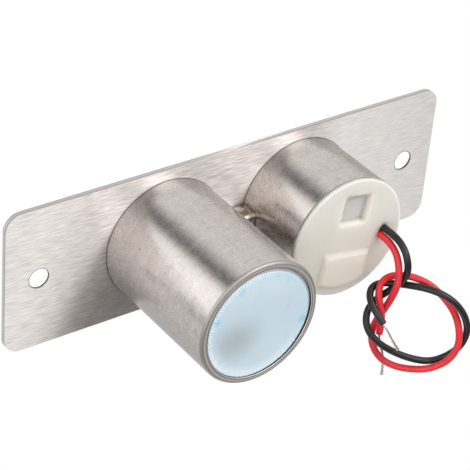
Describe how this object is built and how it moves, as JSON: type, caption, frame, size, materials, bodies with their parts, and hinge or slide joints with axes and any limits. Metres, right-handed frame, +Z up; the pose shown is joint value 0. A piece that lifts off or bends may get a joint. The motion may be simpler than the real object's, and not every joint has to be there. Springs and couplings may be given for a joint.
{
  "type": "electric drop bolt lock",
  "caption": "Electric drop bolt lock: long face plate with round solenoid and control housings on its back, a sprung round bolt out of its front, and loose supply leads.",
  "frame": {"origin": "midway between the two screw holes, on the face plate's back face", "axes": "+X along the face plate, from the bolt's housing to the end plug's; +Y out of the plate's front face, the way the bolt extends; +Z up across the plate's width"},
  "size_m": [0.148, 0.0617, 0.0701],
  "materials": {
    "plate_steel": "brushed along its length",
    "tube_steel": "satin, drawn",
    "cap_steel": "satin",
    "film": "glossy thin film, wrinkled at its edge",
    "cream_plastic": "moulded, satin",
    "nickel": "bright nickel",
    "bolt_steel": "turned and polished",
    "soft_iron": "zinc plated",
    "spring_steel": "drawn wire",
    "brass": "turned",
    "spacer_plastic": "moulded",
    "buffer_rubber": "matte",
    "bobbin_plastic": "moulded",
    "copper": "enamelled wire",
    "tape": "polyester tape",
    "board": "solder mask",
    "relay_case": "moulded",
    "capacitor_case": "shrink sleeve",
    "chip_case": "moulded",
    "glass": "clear",
    "lead_red": "smooth vinyl",
    "lead_black": "smooth vinyl",
    "tin": "tinned"
  },
  "bodies": {
    "housing": {"face_plate": "plate_steel", "long_tube": "tube_steel", "short_tube": "tube_steel", "rear_cap": "cap_steel", "cap_film": "film", "end_plug": "cream_plastic", "link_duct": "nickel", "guide_bush": "brass", "return_spring": "spring_steel", "spacer_sleeve": "spacer_plastic", "front_pole_plate": "soft_iron", "solenoid_can": "soft_iron", "fixed_core": "soft_iron", "core_buffer": "buffer_rubber", "guide_sleeve": "brass", "coil_bobbin": "bobbin_plastic", "coil_winding": "copper", "coil_tape": "tape", "coil_lead_red": "lead_red", "coil_lead_black": "lead_black", "control_board": "board", "board_screws": "bolt_steel", "driver_relay": "relay_case", "smoothing_capacitor": "capacitor_case", "timer_chip": "chip_case", "flyback_diode": "chip_case", "reed_switch": "glass", "inner_lead_red": "lead_red", "inner_lead_black": "lead_black", "solder_joints": "tin", "supply_lead_red": "lead_red", "supply_lead_black": "lead_black", "bare_strands_red": "tin", "bare_strands_black": "tin"},
    "bolt": {"bolt": "bolt_steel", "plunger": "soft_iron", "cross_pin": "bolt_steel", "retaining_ring": "spring_steel", "stop_washer": "bolt_steel"}
  },
  "joints": [
    {"name": "bolt_slide", "type": "slide", "parent": "housing", "child": "bolt", "axis": [0, 1, 0], "range_m": [-0.01, 0], "stiffness_N_per_m": 150, "springref_m": 0.008, "deforming": ["return_spring"]}
  ]
}
